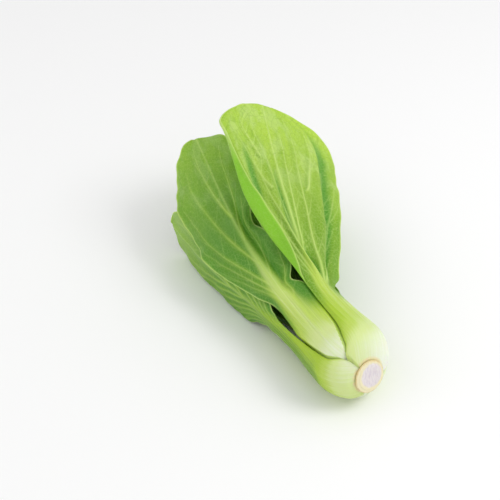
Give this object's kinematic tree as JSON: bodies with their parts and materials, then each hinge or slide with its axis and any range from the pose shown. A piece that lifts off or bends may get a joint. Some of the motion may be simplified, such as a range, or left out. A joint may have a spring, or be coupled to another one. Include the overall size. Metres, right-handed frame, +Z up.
{
  "type": "bok choy",
  "caption": "Head of Shanghai bok choy cut at the stem, lying on its side, with pale clasping stalks and spreading spoon-shaped green leaves.",
  "frame": {"origin": "on the resting surface, under the middle of the head's box", "axes": "+Z up from the resting surface, +Y from the cut stem towards the leaf tips, +X to the right as seen from the cut stem"},
  "size_m": [0.121, 0.2222, 0.0939],
  "materials": {
    "leaf": "satin",
    "heart_leaf": "satin",
    "cut_stem": "matte"
  },
  "bodies": {
    "root": {"stem_core": "cut_stem", "leaf_01": "leaf", "leaf_02": "leaf", "leaf_03": "leaf", "leaf_04": "leaf", "leaf_05": "leaf", "leaf_06": "leaf", "leaf_07": "heart_leaf", "leaf_08": "heart_leaf", "leaf_09": "heart_leaf", "leaf_10": "heart_leaf", "leaf_11": "heart_leaf"}
  },
  "joints": []
}
